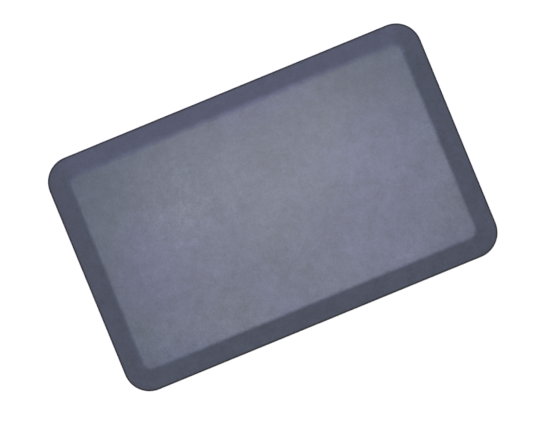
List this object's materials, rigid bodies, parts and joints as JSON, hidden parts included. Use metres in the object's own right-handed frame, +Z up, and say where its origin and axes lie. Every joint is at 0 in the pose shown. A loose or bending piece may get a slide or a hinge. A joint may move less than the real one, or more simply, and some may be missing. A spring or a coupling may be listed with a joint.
{
  "type": "anti fatigue mat",
  "caption": "Rectangular cushioned standing mat with rounded corners, sloped no-trip edges all round, a soft textured leather-look deck and an anti-slip rubber underside",
  "frame": {"origin": "centre of the mat's underside, on the floor", "axes": "+X along the long side, +Y along the short side, +Z up out of the deck"},
  "size_m": [0.8128, 0.508, 0.019],
  "materials": {
    "grip_rubber": "matte",
    "firm_foam": "matte",
    "soft_foam": "matte",
    "gel": "satin",
    "cover_skin": "matte"
  },
  "bodies": {
    "base": {"base_sheet": "grip_rubber", "edge_frame": "firm_foam", "support_foam": "soft_foam"},
    "deck": {"gel_pad": "gel", "top_cover": "cover_skin"}
  },
  "joints": [
    {"name": "deck_press", "type": "slide", "parent": "base", "child": "deck", "axis": [0, 0, -1], "range_m": [0, 0.004], "stiffness_N_per_m": 180000, "deforming": ["support_foam", "top_cover"]}
  ]
}
